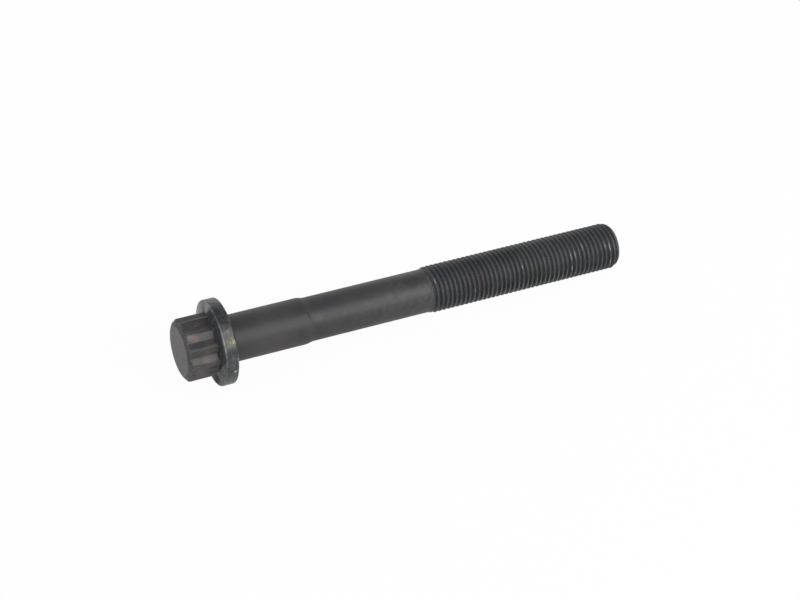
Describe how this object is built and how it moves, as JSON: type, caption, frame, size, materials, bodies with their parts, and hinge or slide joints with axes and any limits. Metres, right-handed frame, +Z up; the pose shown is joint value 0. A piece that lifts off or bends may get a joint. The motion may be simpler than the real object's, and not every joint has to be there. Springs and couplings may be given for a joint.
{
  "type": "cylinder head bolt",
  "caption": "Engine cylinder head bolt with a twelve-point flanged head, a guide collar, a waisted shank and a long fine thread, which clamps the head to the block.",
  "frame": {"origin": "centre of the flange's bearing face, on the bolt's own axis", "axes": "+Z up. The bolt lies as it rests on a table, on the flange's rim and on the thread: its axis is in the XZ plane and runs towards +X, from the head to the threaded end, dipping 2.59 degrees below +X. The table is 10.7 mm below the origin."},
  "size_m": [0.1183, 0.0214, 0.0214],
  "materials": {
    "phosphated_steel": "black phosphated and oiled forged steel, satin, slightly mottled"
  },
  "bodies": {
    "root": {"cylinder_head_bolt": "phosphated_steel"}
  },
  "joints": []
}
